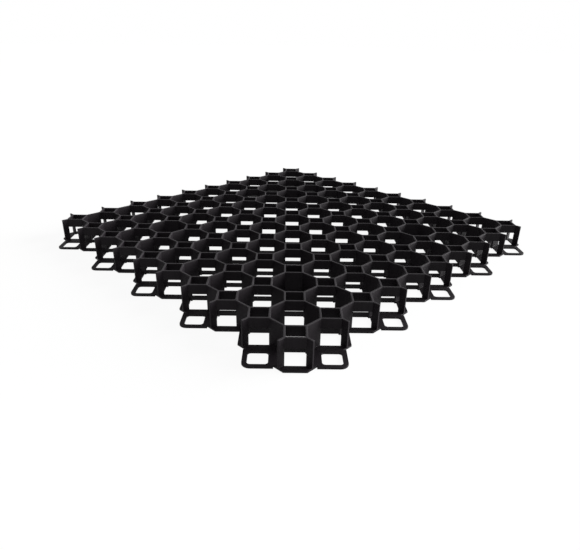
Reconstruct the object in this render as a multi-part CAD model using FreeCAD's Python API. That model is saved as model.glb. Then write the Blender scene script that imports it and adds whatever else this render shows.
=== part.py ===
"""Grass paver grid: one moulded mat of octagon and square cells on an open base plate.

The walls follow a truncated square tiling: octagon cells, with small square cells between
them that stand on their corners. A wall between two octagons is a blade of the full height.
The walls round a square cell are only a ring at the top, because the core that forms the
space below the ring is drawn out downwards. That core tapers, so a blade is shorter at its
foot. Four square cells are closed instead: their walls go down to the plate. The base plate
has a hole under every cell. Two edges of the mat carry loops at floor level, and the two
opposite edges carry the hooks that drop into a neighbour's loops.

Millimetres, +Z up, resting on z = 0, with X and Y along the edges of the mat.
"""
import FreeCAD
import Part
import math
import os

# Cell pattern
PITCH = 60.0            # spacing of the square cells along both edges
CELLS = 10              # square cells along each edge
HEIGHT = 38.0           # floor to the top of the walls
WALL = 2.4              # thickness of every wall
EDGE_GAP = 2.5          # blades and base plate end this far inside the module line

# Rings round the square cells, and the cores below them
RING_DEPTH = 14.0       # depth of a ring, from the top of the walls down
CORE_WIDTH = 30.0       # width of a core at the base plate
CLOSED_AFTER = 2        # a closed cell comes after this many others, from both nearest edges

# Base plate
PLATE = 2.4             # thickness of the base plate and of the loops that grow from it
HOLE_WIDTH = 34.0       # width of the hole under each octagon cell

# Loops on the edges at -X and -Y, which lie in wider half holes of a neighbour
JOINT_EVERY = 2         # a loop or a hook at every second half cell along an edge
JOINT_EASE = 0.5        # clearance of a loop in the half hole and of a hook round the loop
LOOP_WIDTH = 36.0       # outside width of a loop
LOOP_BAR = 6.0          # width of the bars of a loop
TIP_RADIUS = 10.0       # radius of a loop's outer corner
WINDOW_RADIUS = 4.0     # radius of the window's corners, apart from the one at the blade

# Hooks on the edges at +X and +Y
HOOK_WIDTH = 5.0        # width of a hook along the edge
TONGUE_THICK = 2.5      # thickness of the tongue that lies over the loop
NUB_LENGTH = 3.0        # length, along the tongue, of the nub in the loop's window
NUB_LIFT = 0.8          # the nub ends this far above the floor

# Sizes of the tiling
ROOT_2 = math.sqrt(2.0)
LINE = PITCH * CELLS / 2.0                  # module line, from the module's centre
EDGE = LINE - EDGE_GAP                      # edge of the plate and the blades, from the same centre
SIDE = PITCH * (ROOT_2 - 1.0)               # side of a square cell, between the middles of its walls
RING_BOTTOM = HEIGHT - RING_DEPTH
SOCKET_WIDTH = LOOP_WIDTH + 2.0 * JOINT_EASE
WINDOW_WIDTH = LOOP_WIDTH - 2.0 * LOOP_BAR

# Reach of a ring, a core, a loop and its window, from their centres out along X or Y
RING_REACH = (SIDE + WALL) / ROOT_2 - WALL / 2.0
CORE_REACH = CORE_WIDTH / ROOT_2 - WALL / 2.0
LOOP_REACH = LOOP_WIDTH / ROOT_2 - TIP_RADIUS * (ROOT_2 - 1.0)
WINDOW_REACH = WINDOW_WIDTH / ROOT_2

# The origin is on the floor under the middle of the bounding box. The loops reach past one
# module line and the plate stops short of the other, which moves the module's own centre.
CENTRE = (LOOP_REACH + EDGE_GAP) / 2.0

UP = FreeCAD.Vector(0, 0, 1)
CORNERS = [(1, 0), (0, 1), (-1, 0), (0, -1)]


def at(x, y, z=0.0):
    """A point measured from the module's centre."""
    return FreeCAD.Vector(x + CENTRE, y + CENTRE, z)


def polygon(points):
    """A flat face with straight sides through the points."""
    return Part.Face(Part.makePolygon(points + points[:1]))


def diamond(centre, width, corner_flat=0.0):
    """A square face standing on its corner, with its corners cut to flats of the given width."""
    points = []
    for x, y in CORNERS:
        tip = centre + FreeCAD.Vector(x, y, 0) * (width / ROOT_2 - corner_flat / 2.0)
        half_flat = FreeCAD.Vector(-y, x, 0) * (corner_flat / 2.0)
        points += [tip - half_flat, tip + half_flat] if corner_flat else [tip]
    return polygon(points)


def rounded_diamond(centre, width, radii):
    """A square face standing on its corner, with a radius for each of its corners."""
    starts, arcs, ends = [], [], []
    for (x, y), radius in zip(CORNERS, radii):
        outward = FreeCAD.Vector(x, y, 0)
        sideways = FreeCAD.Vector(-y, x, 0)
        tip = centre + outward * (width / ROOT_2)
        starts.append(tip - (outward + sideways) * (radius / ROOT_2))
        ends.append(tip - (outward - sideways) * (radius / ROOT_2))
        if radius:
            middle = tip - outward * (radius * (ROOT_2 - 1.0))
            arcs.append(Part.Arc(starts[-1], middle, ends[-1]).toShape())
    sides = [Part.makeLine(end, start) for end, start in zip(ends, starts[1:] + starts[:1])]
    return Part.Face(Part.Wire(Part.sortEdges(sides + arcs)[0]))


def octagon_places():
    """Places of the octagon cells along an edge, from module line to module line."""
    return [PITCH * k - LINE for k in range(CELLS + 1)]


def square_places():
    """Places of the square cells along an edge."""
    return [x + PITCH / 2.0 for x in octagon_places()[:-1]]


def joint_places():
    """Places along an edge of the half cells that hold a loop or a hook."""
    return octagon_places()[1:CELLS:JOINT_EVERY]


def is_closed(x, y):
    """Whether the walls of the square cell at x, y go down to the plate."""
    cells = square_places()
    closed = [cells[CLOSED_AFTER], cells[-1 - CLOSED_AFTER]]
    return x in closed and y in closed


def takes_loop(x, y):
    """Whether the half hole at x, y, on an edge with hooks, takes a loop of a neighbour."""
    return (x == LINE and y in joint_places()) or (y == LINE and x in joint_places())


def both_ways(shapes):
    """Shapes made along or across X, with their mirror images for Y."""
    return shapes + [shape.mirror(at(0, 0), FreeCAD.Vector(1, -1, 0)) for shape in shapes]


def plate_prism(face):
    """A face on the floor, made as thick as the base plate."""
    return face.extrude(UP * PLATE)


def base_plate():
    """The base plate: holes under the cells, and a loop in place of some half holes at two edges."""
    loop_places = [(-LINE, y) for y in joint_places()]
    loops = [rounded_diamond(at(*place), LOOP_WIDTH, [0, 0, TIP_RADIUS, 0]) for place in loop_places]
    windows = [
        rounded_diamond(at(*place), WINDOW_WIDTH, [0, WINDOW_RADIUS, WINDOW_RADIUS, WINDOW_RADIUS])
        for place in loop_places
    ]
    loop_places += [(x, y) for y, x in loop_places]
    holes = [
        diamond(at(x, y), SOCKET_WIDTH if takes_loop(x, y) else HOLE_WIDTH)
        for x in octagon_places() for y in octagon_places() if (x, y) not in loop_places
    ]
    holes += [
        diamond(at(x, y), SIDE - WALL) if is_closed(x, y) else diamond(at(x, y), CORE_WIDTH, WALL)
        for x in square_places() for y in square_places()
    ]
    square = polygon([at(-EDGE, -EDGE), at(EDGE, -EDGE), at(EDGE, EDGE), at(-EDGE, EDGE)])
    outline = plate_prism(square).fuse(both_ways([plate_prism(loop) for loop in loops])).removeSplitter()
    cuts = [plate_prism(hole) for hole in holes] + both_ways([plate_prism(window) for window in windows])
    return outline.cut(cuts)


def rings():
    """The walls round the square cells: rings at the top, or down to the plate at the closed cells."""
    section = diamond(at(0, 0), SIDE + WALL, WALL).cut(diamond(at(0, 0), SIDE - WALL)).Faces[0]
    shapes = []
    for x in square_places():
        for y in square_places():
            bottom = PLATE if is_closed(x, y) else RING_BOTTOM
            raised = section.translated(FreeCAD.Vector(x, y, bottom))
            shapes.append(raised.extrude(UP * (HEIGHT - bottom)))
    return shapes


def ring_end(x, y, way):
    """Side view, from the foot up, of a blade's end at the square cell that it leaves towards way.

    The end follows the core below the ring, and it is upright at a closed cell.
    """
    foot_reach = RING_REACH if is_closed(x, y) else CORE_REACH
    return [
        (x + way * foot_reach, PLATE),
        (x + way * RING_REACH, RING_BOTTOM),
        (x + way * RING_REACH, HEIGHT),
    ]


def free_end(place):
    """Side view, from the foot up, of a half blade's upright end at an edge of the mat."""
    return [(place, PLATE), (place, HEIGHT)]


def blade(start, end, y):
    """A blade along X, from the side views of its two ends."""
    side_view = [at(x, y, z) for x, z in start + end[::-1]]
    across = FreeCAD.Vector(0, WALL, 0)
    return polygon(side_view).extrude(across).translated(across * -0.5)


def blades():
    """The blades along X and Y: whole ones between the square cells, and half ones at the edges."""
    cells = square_places()
    shapes = []
    for y in cells:
        starts = [free_end(-EDGE)] + [ring_end(x, y, 1) for x in cells]
        ends = [ring_end(x, y, -1) for x in cells] + [free_end(EDGE)]
        shapes += [blade(start, end, y) for start, end in zip(starts, ends)]
    return both_ways(shapes)


def hooks():
    """The hooks on the two edges opposite the loops.

    A hook's root stands on the plate against the blade of its half cell, its tongue lies over
    the corner of the neighbour's loop, and its nub drops into the loop's window.
    """
    blade_face = LINE - PITCH / 2.0 + WALL / 2.0
    root_end = LINE - LOOP_REACH - JOINT_EASE
    nub_start = LINE - WINDOW_REACH + JOINT_EASE * ROOT_2 + HOOK_WIDTH / 2.0
    nub_end = nub_start + NUB_LENGTH
    tongue_bottom = PLATE + JOINT_EASE
    tongue_top = tongue_bottom + TONGUE_THICK
    side_view = [
        at(blade_face, 0.0, PLATE),
        at(root_end, 0.0, PLATE),
        at(root_end, 0.0, tongue_bottom),
        at(nub_start, 0.0, tongue_bottom),
        at(nub_start, 0.0, NUB_LIFT),
        at(nub_end, 0.0, NUB_LIFT),
        at(nub_end, 0.0, tongue_top),
        at(blade_face, 0.0, tongue_top),
    ]
    across = FreeCAD.Vector(0, HOOK_WIDTH, 0)
    hook = polygon(side_view).extrude(across).translated(across * -0.5)
    return both_ways([hook.translated(FreeCAD.Vector(0, y, 0)) for y in joint_places()])


os.makedirs("parts", exist_ok=True)
grid = base_plate().fuse(rings() + blades() + hooks()).removeSplitter()
grid.exportStep("parts/grass_paver_grid.step")
print("solids", len(grid.Solids), "valid", grid.isValid(), "volume", round(grid.Volume), grid.BoundBox)
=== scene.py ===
import math

import bpy
import numpy as np
from mathutils import Matrix, Vector


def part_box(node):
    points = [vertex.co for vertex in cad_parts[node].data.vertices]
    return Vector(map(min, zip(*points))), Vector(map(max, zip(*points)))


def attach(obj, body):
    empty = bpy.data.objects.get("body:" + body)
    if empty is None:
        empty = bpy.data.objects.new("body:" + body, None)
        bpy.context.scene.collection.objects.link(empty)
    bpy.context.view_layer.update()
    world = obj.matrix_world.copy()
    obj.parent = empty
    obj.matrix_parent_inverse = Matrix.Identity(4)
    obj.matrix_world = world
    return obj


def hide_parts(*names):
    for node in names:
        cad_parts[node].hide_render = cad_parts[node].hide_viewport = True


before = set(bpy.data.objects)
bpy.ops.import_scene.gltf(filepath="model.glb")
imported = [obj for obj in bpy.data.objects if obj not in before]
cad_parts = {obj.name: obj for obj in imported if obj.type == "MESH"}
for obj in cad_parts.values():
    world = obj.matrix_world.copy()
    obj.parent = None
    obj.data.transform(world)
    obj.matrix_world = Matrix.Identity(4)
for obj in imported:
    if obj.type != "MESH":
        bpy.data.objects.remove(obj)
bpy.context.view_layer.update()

# Grass paver mat
# One injection-moulded piece of black polyethylene: octagon and square cells on an open base plate,
# with loops on two edges and hooks on the other two. It comes from the mould as it is, semi-matt,
# with a small radius on every edge.

MAT_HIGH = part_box("grass_paver_grid")[1]
HEIGHT = MAT_HIGH.z
PITCH = 0.060             # spacing of the square cells along both edges
CELLS = 10                # square cells along each edge
WALL = 0.0024             # thickness of every wall
EDGE_GAP = 0.0025         # blades and plate end this far inside the module line
RING_DEPTH = 0.014        # depth of the ring of walls round a square cell, from the top down
CORE_WIDTH = 0.030        # width of the plate's hole below a ring
CLOSED_AFTER = 2          # a closed cell comes after this many others, from both nearest edges
PLATE = 0.0024            # thickness of the base plate and its loops
HOLE_WIDTH = 0.034        # width of the plate's hole under an octagon cell
JOINT_EASE = 0.0005       # clearance of a loop in its half hole and of a hook round the loop
LOOP_WIDTH = 0.036        # outside width of a loop
LOOP_BAR = 0.006          # width of the bars of a loop
TIP_RADIUS = 0.010        # radius of a loop's outer corner
WINDOW_RADIUS = 0.004     # radius of the corners of a loop's window
HOOK_WIDTH = 0.005        # width of a hook along the edge
TONGUE_THICK = 0.0025     # thickness of a hook's tongue
NUB_LENGTH = 0.003        # length of the nub at the end of a tongue
NUB_LIFT = 0.0008         # the nub ends this far above the floor
EDGE_RADIUS = 0.00045     # radius that the mould leaves on the edges
HOOK_RADIUS = 0.0002      # the same radius on the hooks
ARC_STEPS = 8             # straight steps in a rounded corner of a loop

ROOT_2 = math.sqrt(2.0)
LINE = PITCH * CELLS / 2
EDGE = LINE - EDGE_GAP
SIDE = PITCH * (ROOT_2 - 1)
RING_BOTTOM = HEIGHT - RING_DEPTH
SOCKET_WIDTH = LOOP_WIDTH + 2 * JOINT_EASE
WINDOW_WIDTH = LOOP_WIDTH - 2 * LOOP_BAR
MIDDLE = Vector((MAT_HIGH.x - EDGE, MAT_HIGH.y - EDGE))

HALF = WALL / 2
INNER = (SIDE - WALL) / ROOT_2                  # corner of a square cell, from the cell's centre
RING = (SIDE + WALL) / ROOT_2 - HALF            # where a blade leaves a ring
CORE = CORE_WIDTH / ROOT_2 - HALF               # where the plate's hole ends on a blade
TIP = PITCH / 2 - HOLE_WIDTH / ROOT_2           # corner of an octagon's hole, from the nearest blade
SOCKET_TIP = PITCH / 2 - SOCKET_WIDTH / ROOT_2  # the same corner of a half hole that takes a loop
END = EDGE - LINE + PITCH / 2                   # edge of the mat, from the centre of a cell beside it
LOOP = LOOP_WIDTH / ROOT_2                      # corner of a loop before rounding, from its centre
WINDOW = WINDOW_WIDTH / ROOT_2                  # corner of its window before rounding

OCTAGONS = PITCH * np.arange(CELLS + 1) - LINE
SQUARES = OCTAGONS[:-1] + PITCH / 2
JOINTS = OCTAGONS[1::2]                         # half cells with a loop or a hook
JOINT_CELLS = SQUARES[:-1:2]                    # square cells before a joint
PLAIN_CELLS = SQUARES[1:-1:2]                   # square cells before a half cell without one


def plan_cell(points, low, high):
    """One plan cell: its corners anticlockwise, each with the heights of its underside and top."""
    points = np.array(points, float)
    return np.hstack([points, np.tile([low, high], (len(points), 1))])[None]


def flipped(cells, axis):
    """Mirror image across the line where coordinate axis is 0, with the corners anticlockwise again."""
    image = cells[:, ::-1].copy()
    image[..., axis] *= -1
    return image


def swapped(cells):
    """Mirror image across the line x = y, with the corners anticlockwise again."""
    return cells[:, ::-1][..., [1, 0, 2, 3]]


def turned_four_ways(cells):
    """The cells and their three quarter turns: (x, y) goes to (-y, x) each time."""
    images = [cells]
    for _ in range(3):
        images.append(images[-1][..., [1, 0, 2, 3]] * np.array([-1, 1, 1, 1]))
    return np.concatenate(images)


def placed(cells, xs, ys):
    """A copy of the cells at every place with one of the xs and one of the ys."""
    places = np.stack(np.meshgrid(xs, ys), -1).reshape(-1, 1, 1, 2)
    copies = np.repeat(cells[None], len(places), 0)
    copies[..., :2] += places
    return copies.reshape(-1, *cells.shape[1:])


def arc(centre, radius, start, end, steps):
    """Points on an arc: the centre plus the radius times (cosine, sine) of evenly spaced angles."""
    angles = np.radians(np.linspace(start, end, steps + 1))
    return np.array(centre) + radius * np.stack([np.cos(angles), np.sin(angles)], -1)


def ring_cells():
    """Rings: a flat band between an outer square with cut corners and a sharp inner square.

    A blade ends at each cut corner, and the end strip of the blade stands free in the plate's hole.
    At a closed cell the band goes down to the floor too, and the plate fills the rim round it.
    """
    side = [(RING, HALF), (HALF, RING), (0, INNER), (INNER, 0)]
    corner = [(RING, -HALF), (RING, HALF), (INNER, 0)]
    strip = [(RING, -HALF), (CORE, -HALF), (CORE, HALF), (RING, HALF)]
    rim = [(RING, HALF), (CORE, HALF), (HALF, CORE), (HALF, RING)]
    opened = [plan_cell(side, RING_BOTTOM, HEIGHT), plan_cell(corner, RING_BOTTOM, HEIGHT)]
    closed = [plan_cell(side, 0, HEIGHT), plan_cell(corner, 0, HEIGHT), plan_cell(rim, 0, PLATE)]
    with_closed = SQUARES[[CLOSED_AFTER, -1 - CLOSED_AFTER]]
    without_closed = np.setdiff1d(SQUARES, with_closed)
    groups = [placed(turned_four_ways(plan_cell(strip, 0, HEIGHT)), SQUARES, SQUARES)]
    for unit in map(turned_four_ways, opened):
        groups.append(placed(unit, SQUARES, without_closed))
        groups.append(placed(unit, without_closed, with_closed))
    for unit in map(turned_four_ways, closed):
        groups.append(placed(unit, with_closed, with_closed))
    return groups


def blade_cells():
    """Feet of the blades, from the floor to the top, and the plate's triangles on both sides of each.

    A triangle's third corner is the corner of the hole beside it. There is none beside a loop.
    """
    far = PITCH - CORE
    foot = plan_cell([(CORE, -HALF), (far, -HALF), (far, HALF), (CORE, HALF)], 0, HEIGHT)
    stub = plan_cell([(CORE, -HALF), (END, -HALF), (END, HALF), (CORE, HALF)], 0, HEIGHT)
    base = [(CORE, HALF), (far, HALF)]
    beside = plan_cell([*base, (PITCH / 2, TIP)], 0, PLATE)
    beside_socket = plan_cell([*base, (PITCH / 2, SOCKET_TIP)], 0, PLATE)
    along_x = [
        placed(foot, SQUARES[:-1], SQUARES),
        placed(beside, SQUARES[:-1], SQUARES[:-1]),
        placed(beside, PLAIN_CELLS, SQUARES[-1:]),
        placed(beside_socket, JOINT_CELLS, SQUARES[-1:]),
        placed(flipped(beside, 1), SQUARES[:-1], SQUARES[1:]),
        placed(flipped(beside, 1), PLAIN_CELLS, SQUARES[:1]),
    ]
    stubs = turned_four_ways(placed(stub, SQUARES[-1:], SQUARES))
    return along_x + [swapped(cells) for cells in along_x] + [stubs]


def cut_bar(tip):
    """A bar cut off at the edge of the mat, beside a half hole with its corner at tip."""
    clip = tip + EDGE_GAP
    return plan_cell([(CORE, HALF), (END, HALF), (END, clip), (tip, PITCH / 2), (HALF, CORE)], 0, PLATE)


def bar_cells():
    """Bars of the plate between the holes, cut off square at the edges of the mat."""
    bar = plan_cell([(CORE, HALF), (PITCH / 2, TIP), (TIP, PITCH / 2), (HALF, CORE)], 0, PLATE)
    clip = TIP + EDGE_GAP
    corner = plan_cell(
        [(CORE, HALF), (END, HALF), (END, clip), (clip, END), (HALF, END), (HALF, CORE)], 0, PLATE
    )
    inner_bars = turned_four_ways(placed(bar, SQUARES[:-1], SQUARES[:-1]))
    corners = turned_four_ways(placed(corner, SQUARES[-1:], SQUARES[-1:]))
    groups = [inner_bars, corners]
    cut_bars = [
        (cut_bar(TIP), SQUARES[-1:], PLAIN_CELLS),
        (cut_bar(SOCKET_TIP), SQUARES[-1:], JOINT_CELLS),
        (flipped(cut_bar(TIP), 0), SQUARES[:1], PLAIN_CELLS),
    ]
    for cut, edge, cells in cut_bars:
        pair = [placed(cut, edge, cells), placed(flipped(cut, 1), edge, cells + PITCH)]
        groups += pair + [swapped(bars) for bars in pair]
    return groups


def loop_cells():
    """Loops: the plate round a window, from the first blade to a rounded tip past the module line."""
    flat = PITCH / 2 - CORE
    face = PITCH / 2 - HALF
    shoulder = LOOP - EDGE_GAP
    bend = WINDOW - WINDOW_RADIUS * ROOT_2
    inner_arc = arc((bend, 0), WINDOW_RADIUS, -45, 45, ARC_STEPS)
    side_arc = arc((0, bend), WINDOW_RADIUS, 45, 135, ARC_STEPS)
    outer_arc = arc((-bend, 0), WINDOW_RADIUS, 180, 135, ARC_STEPS // 2)
    tip_arc = arc((TIP_RADIUS * ROOT_2 - LOOP, 0), TIP_RADIUS, 135, 180, ARC_STEPS // 2)
    root = plan_cell([(face, -flat), (face, flat), *inner_arc[::-1]], 0, PLATE)
    inner_bar = [
        (face, flat), (flat, face), (EDGE_GAP, face), (EDGE_GAP, shoulder), side_arc[0], inner_arc[-1]
    ]
    shoulder_cell = [(EDGE_GAP, shoulder), (0, LOOP), *side_arc[::-1]]
    outer_bar = [(0, LOOP), *tip_arc, *outer_arc, side_arc[-1]]
    loops = [placed(root, OCTAGONS[:1], JOINTS)]
    for outline in (inner_bar, shoulder_cell, outer_bar):
        half = plan_cell(outline, 0, PLATE)
        both = np.concatenate([half, flipped(half, 1)])
        loops.append(placed(both, OCTAGONS[:1], JOINTS))
    return loops + [swapped(cells) for cells in loops]


def raised(groups):
    """Faces of the solid over a plan: each cell's underside and top, and walls where the heights differ.

    The heights fall into layers: the plate, the space below the rings, and the rings. In each layer
    that a cell fills, a wall stands on each of its edges, unless the cell across it fills the layer too.
    """
    faces = []
    edges = []
    for cells in groups:
        faces.append(cells[..., [0, 1, 3]])
        faces.append(cells[:, ::-1][..., [0, 1, 2]])
        edges.append(np.stack([cells, np.roll(cells, -1, 1)], 2).reshape(-1, 2, 4))
    edges = np.concatenate(edges)
    ends = np.round(edges[..., :2] * 1e7).astype(np.int64)
    names = np.unique(ends.reshape(-1, 2), axis=0, return_inverse=True)[1].reshape(-1, 2)
    count = names.max() + 1
    keys = names[:, 0] * count + names[:, 1]
    order = np.argsort(keys)
    wanted = names[:, 1] * count + names[:, 0]
    across = order[np.clip(np.searchsorted(keys, wanted, sorter=order), 0, len(keys) - 1)]
    shared = keys[across] == wanted
    levels = (0, PLATE, RING_BOTTOM, HEIGHT)
    for bottom, top in zip(levels[:-1], levels[1:]):
        middle = (bottom + top) / 2
        filled = (edges[:, 0, 2] < middle) & (edges[:, 0, 3] > middle)
        walled = edges[filled & ~(shared & filled[across])]
        start = walled[:, 0]
        end = walled[:, 1]
        corners = ((start, bottom), (end, bottom), (end, top), (start, top))
        faces.append(np.stack([np.insert(point[:, :2], 2, z, axis=1) for point, z in corners], 1))
    return faces


def hook_faces():
    """Hooks: a side view of root, tongue and nub, carried across the width of the hook."""
    reach = LOOP - TIP_RADIUS * (ROOT_2 - 1)
    blade_face = LINE - PITCH / 2 + HALF
    root_end = LINE - reach - JOINT_EASE
    nub_start = LINE - WINDOW + JOINT_EASE * ROOT_2 + HOOK_WIDTH / 2
    nub_end = nub_start + NUB_LENGTH
    tongue_bottom = PLATE + JOINT_EASE
    tongue_top = tongue_bottom + TONGUE_THICK
    side_view = np.array([
        (blade_face - HALF, PLATE),
        (root_end, PLATE),
        (root_end, tongue_bottom),
        (nub_start, tongue_bottom),
        (nub_start, NUB_LIFT),
        (nub_end, NUB_LIFT),
        (nub_end, tongue_top),
        (blade_face - HALF, tongue_top),
    ])
    near, far = (
        np.insert(side_view, 1, across, axis=1) for across in (-HOOK_WIDTH / 2, HOOK_WIDTH / 2)
    )
    sides = np.stack([far, np.roll(far, -1, 0), np.roll(near, -1, 0), near], 1)
    along = np.zeros((len(JOINTS), 1, 1, 3))
    along[:, 0, 0, 1] = JOINTS
    hook = (near[None], far[None, ::-1], sides)
    groups = [(faces + along).reshape(-1, *faces.shape[1:]) for faces in hook]
    mirrored = [group[:, ::-1][..., [1, 0, 2]] for group in groups]
    return groups + mirrored


def mesh_from_faces(name, faces):
    """A mesh of the given faces, with corners at the same place joined into one vertex."""
    points = np.concatenate([group.reshape(-1, 3) for group in faces])
    sizes = np.concatenate([np.full(len(group), group.shape[1]) for group in faces])
    names, first, corner = np.unique(
        np.round(points * 1e7).astype(np.int64), axis=0, return_index=True, return_inverse=True
    )
    mesh = bpy.data.meshes.new(name)
    mesh.vertices.add(len(names))
    mesh.vertices.foreach_set("co", (points[first] + np.array([*MIDDLE, 0])).ravel())
    mesh.loops.add(len(points))
    mesh.loops.foreach_set("vertex_index", corner.ravel())
    mesh.polygons.add(len(sizes))
    mesh.polygons.foreach_set("loop_start", np.cumsum(sizes) - sizes)
    mesh.polygons.foreach_set("use_smooth", np.ones(len(sizes), bool))
    mesh.update(calc_edges=True)
    mesh.validate()
    return mesh


def rounded_piece(name, faces, radius):
    """A solid of the given faces, with a small radius on each of its sharp edges."""
    piece = bpy.data.objects.new(name, mesh_from_faces(name, faces))
    bpy.context.scene.collection.objects.link(piece)
    rounding = piece.modifiers.new("edge_radius", "BEVEL")
    rounding.width = radius
    rounding.segments = 2
    rounding.limit_method = "ANGLE"
    rounding.angle_limit = math.radians(30)
    return piece


mat_cells = ring_cells() + blade_cells() + bar_cells() + loop_cells()
mat = rounded_piece("paver_mat", raised(mat_cells), EDGE_RADIUS)
hooks = rounded_piece("paver_hooks", hook_faces(), HOOK_RADIUS)
join = mat.modifiers.new("hooks", "BOOLEAN")
join.operation = "UNION"
join.solver = "EXACT"
join.object = hooks
joined = bpy.data.meshes.new_from_object(mat.evaluated_get(bpy.context.evaluated_depsgraph_get()))
joined.name = "paver_mat_joined"
mat.modifiers.clear()
mat.data = joined
bpy.data.objects.remove(hooks)
shading = mat.modifiers.new("flat_faces", "WEIGHTED_NORMAL")
shading.weight = 100
shading.keep_sharp = False


BLACK = (0.0042, 0.0026, 0.0041, 1)            # the plastic as moulded
WEAR_AND_HIGHLIGHT_BLACK = (0.030, 0.027, 0.030, 1)          # top edges: scuffed and dusty, and a painted highlight where light catches the rounded rims
WEAR_AND_HIGHLIGHT_BAND = 0.0012                             # the wear and the painted highlight reach this far down from the top
WEAR_AND_HIGHLIGHT_PATCH = 0.02                              # size of the patches with more and less wear and painted highlight
CLOUD_SIZE = 0.05                              # size of the slightly duller and shinier areas
GRAIN_SIZE = 0.0007                            # size of the mould's fine grain
GRAIN_DEPTH = 0.0002                           # depth of the grain and of the draw marks
DRAW_MARK_WIDTH = 0.0016                       # spacing of the upright marks from drawing the mould
DRAW_MARK_STRETCH = 25                         # a draw mark is this many times longer than wide
SHEEN = 0.14                                   # surface reflection, where 0.5 is that of smooth plastic


def black_polyethylene():
    """Moulded black polyethylene: fine grain, upright draw marks, paler top edges that are partly
    scuffed and dusty and partly a painted highlight.

    The grain is fine noise. The draw marks are noise that is stretched along z. The paler top edges
    come from a mask that rises to 1 at the top of the walls, broken up by coarser noise; it paints
    the highlight of light on the rims together with the wear.
    """
    material = bpy.data.materials.new("black_polyethylene")
    material.use_nodes = True
    nodes = material.node_tree.nodes
    links = material.node_tree.links
    shader = nodes["Principled BSDF"]
    shader.inputs["IOR"].default_value = 1.51
    shader.inputs["Specular IOR Level"].default_value = SHEEN
    place = nodes.new("ShaderNodeTexCoord").outputs["Object"]

    def noise(size, detail, stretch=1.0):
        """Noise from 0 to 1 with features of about the given size, drawn out along z by the stretch."""
        mapping = nodes.new("ShaderNodeMapping")
        mapping.inputs["Scale"].default_value = (1 / size, 1 / size, 1 / (size * stretch))
        links.new(place, mapping.inputs["Vector"])
        texture = nodes.new("ShaderNodeTexNoise")
        texture.inputs["Scale"].default_value = 1.0
        texture.inputs["Detail"].default_value = detail
        links.new(mapping.outputs["Vector"], texture.inputs["Vector"])
        return texture.outputs["Fac"]

    def ranged(value, low, high, to_low, to_high):
        """A value carried from one range to another, and held at the ends."""
        node = nodes.new("ShaderNodeMapRange")
        links.new(value, node.inputs["Value"])
        limits = {"From Min": low, "From Max": high, "To Min": to_low, "To Max": to_high}
        for socket, number in limits.items():
            node.inputs[socket].default_value = number
        return node.outputs["Result"]

    def combined(operation, first, second):
        """Two values put together by a sum, a product or another operation."""
        node = nodes.new("ShaderNodeMath")
        node.operation = operation
        for socket, value in zip(node.inputs, (first, second)):
            if isinstance(value, (int, float)):
                socket.default_value = value
            else:
                links.new(value, socket)
        return node.outputs["Value"]

    split = nodes.new("ShaderNodeSeparateXYZ")
    links.new(place, split.inputs["Vector"])
    near_top = ranged(split.outputs["Z"], HEIGHT - WEAR_AND_HIGHLIGHT_BAND, HEIGHT, 0, 1)
    patches = ranged(noise(WEAR_AND_HIGHLIGHT_PATCH, 3), 0.3, 0.65, 0.45, 1)
    wear_and_highlight = combined("MULTIPLY", near_top, patches)
    # Paler top edges: partly real wear and dust, partly a painted highlight of light catching the rims.
    colour = nodes.new("ShaderNodeMix")
    colour.data_type = "RGBA"
    colour.inputs["A"].default_value = BLACK
    colour.inputs["B"].default_value = WEAR_AND_HIGHLIGHT_BLACK
    links.new(wear_and_highlight, colour.inputs["Factor"])
    links.new(colour.outputs["Result"], shader.inputs["Base Color"])

    draw_marks = noise(DRAW_MARK_WIDTH, 2, DRAW_MARK_STRETCH)
    clouds = ranged(noise(CLOUD_SIZE, 2), 0.3, 0.7, 0.55, 0.65)
    streaks = ranged(draw_marks, 0.3, 0.7, -0.05, 0.05)
    unworn = combined("ADD", clouds, streaks)
    scuffed = combined("MULTIPLY", wear_and_highlight, 0.08)
    links.new(combined("ADD", unworn, scuffed), shader.inputs["Roughness"])

    grain = nodes.new("ShaderNodeBump")
    grain.inputs["Strength"].default_value = 0.25
    grain.inputs["Distance"].default_value = GRAIN_DEPTH
    marked = combined("ADD", noise(GRAIN_SIZE, 2), combined("MULTIPLY", draw_marks, 0.6))
    links.new(marked, grain.inputs["Height"])
    links.new(grain.outputs["Normal"], shader.inputs["Normal"])
    return material


mat.data.materials.clear()
mat.data.materials.append(black_polyethylene())
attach(mat, "root")
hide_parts("grass_paver_grid")

# Floor
# A plain white studio floor that the mat lies on. It is painted board, so bright that the camera
# sees it nearly white everywhere, and it keeps the mat's soft shadow.

FLOOR_SIZE = 40.0
FLOOR_WHITE = (0.95, 0.95, 0.95, 1)
CLEAR_SHARE = 0.92        # share of clear white in what the camera sees of the floor


def white_to_view(tree):
    """A mask that is 1 for what the camera sees, also in reflections and through clear things."""
    path = tree.nodes.new("ShaderNodeLightPath")
    total = path.outputs["Is Camera Ray"]
    for name in ("Is Glossy Ray", "Is Transmission Ray"):
        node = tree.nodes.new("ShaderNodeMath")
        node.operation = "MAXIMUM"
        tree.links.new(total, node.inputs[0])
        tree.links.new(path.outputs[name], node.inputs[1])
        total = node.outputs["Value"]
    return total


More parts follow.
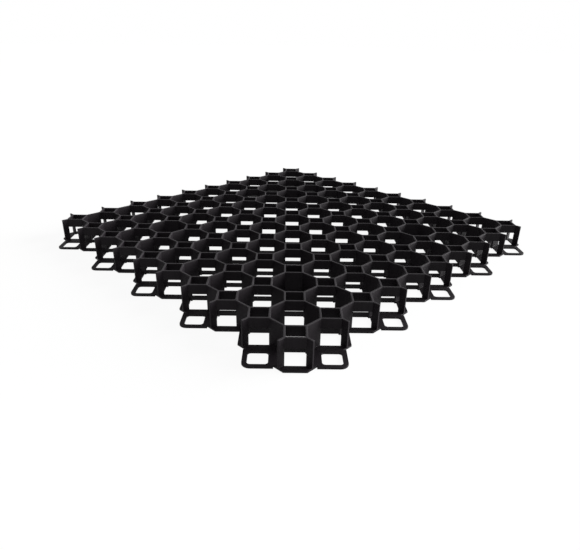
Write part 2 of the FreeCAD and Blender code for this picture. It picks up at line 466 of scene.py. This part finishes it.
floor_mesh = bpy.data.meshes.new("floor")
floor_corners = np.array([(-1, -1, 0), (1, -1, 0), (1, 1, 0), (-1, 1, 0)]) * FLOOR_SIZE / 2
floor_mesh.from_pydata(floor_corners.tolist(), [], [(0, 1, 2, 3)])
floor = bpy.data.objects.new("floor", floor_mesh)
bpy.context.scene.collection.objects.link(floor)
floor_material = bpy.data.materials.new("white_floor")
floor_material.use_nodes = True
floor_tree = floor_material.node_tree
floor_shader = floor_tree.nodes["Principled BSDF"]
floor_shader.inputs["Base Color"].default_value = FLOOR_WHITE
floor_shader.inputs["Roughness"].default_value = 0.9
floor_shader.inputs["Specular IOR Level"].default_value = 0.0
clear_white = floor_tree.nodes.new("ShaderNodeEmission")
clear_share = floor_tree.nodes.new("ShaderNodeMath")
clear_share.operation = "MULTIPLY"
clear_share.inputs[1].default_value = CLEAR_SHARE
floor_tree.links.new(white_to_view(floor_tree), clear_share.inputs[0])
floor_mix = floor_tree.nodes.new("ShaderNodeMixShader")
floor_tree.links.new(clear_share.outputs["Value"], floor_mix.inputs["Fac"])
floor_tree.links.new(floor_shader.outputs["BSDF"], floor_mix.inputs[1])
floor_tree.links.new(clear_white.outputs["Emission"], floor_mix.inputs[2])
floor_tree.links.new(floor_mix.outputs["Shader"], floor_tree.nodes["Material Output"].inputs["Surface"])
floor.data.materials.append(floor_material)

# Studio light
# White surroundings that light the mat softly from all sides, and one wide soft lamp, low and far
# away to the right of the mat, so that it lights the whole floor evenly.

SURROUND_LIGHT = 0.45
LAMP_STRENGTH = 10.0
LAMP_SPREAD = math.radians(40)
LAMP_AZIMUTH = math.radians(-33)
LAMP_ELEVATION = math.radians(12)


def towards(azimuth, elevation):
    """The direction at an azimuth and an elevation: (cos e cos a, cos e sin a, sin e)."""
    flat = math.cos(elevation)
    return Vector((flat * math.cos(azimuth), flat * math.sin(azimuth), math.sin(elevation)))


world = bpy.data.worlds.new("studio")
bpy.context.scene.world = world
world.use_nodes = True
surround = world.node_tree.nodes["Background"]
surround.inputs["Color"].default_value = (1, 1, 1, 1)
strength = world.node_tree.nodes.new("ShaderNodeMapRange")
strength.inputs["To Min"].default_value = SURROUND_LIGHT
strength.inputs["To Max"].default_value = 1.0
world.node_tree.links.new(white_to_view(world.node_tree), strength.inputs["Value"])
world.node_tree.links.new(strength.outputs["Result"], surround.inputs["Strength"])

lamp_data = bpy.data.lights.new("soft_lamp", "SUN")
lamp_data.energy = LAMP_STRENGTH
lamp_data.angle = LAMP_SPREAD
lamp = bpy.data.objects.new("soft_lamp", lamp_data)
lamp.matrix_world = towards(LAMP_AZIMUTH, LAMP_ELEVATION).to_track_quat("Z", "Y").to_matrix().to_4x4()
bpy.context.scene.collection.objects.link(lamp)

# Camera
# It stands past the corner where the two edges with loops meet, a little above the mat, and looks
# down along its diagonal.

IMAGE_WIDTH = 580
FOCAL_PIXELS = 511.56
SENSOR = 36.0
LOOKS_AT = Vector((-0.11068, -0.10427, 0)) + MIDDLE.to_3d()
DISTANCE = 0.79017
AZIMUTH = math.radians(-135.694)
ELEVATION = math.radians(24.816)
ROLL = math.radians(1.026)

camera_data = bpy.data.cameras.new("camera")
camera_data.sensor_fit = "HORIZONTAL"
camera_data.sensor_width = SENSOR
camera_data.lens = SENSOR * FOCAL_PIXELS / IMAGE_WIDTH
camera = bpy.data.objects.new("camera", camera_data)
away = towards(AZIMUTH, ELEVATION)
turn = away.to_track_quat("Z", "Y").to_matrix().to_4x4() @ Matrix.Rotation(ROLL, 4, "Z")
camera.matrix_world = Matrix.Translation(LOOKS_AT + away * DISTANCE) @ turn
bpy.context.scene.collection.objects.link(camera)
bpy.context.scene.camera = camera
bpy.context.scene.view_settings.view_transform = "Standard"
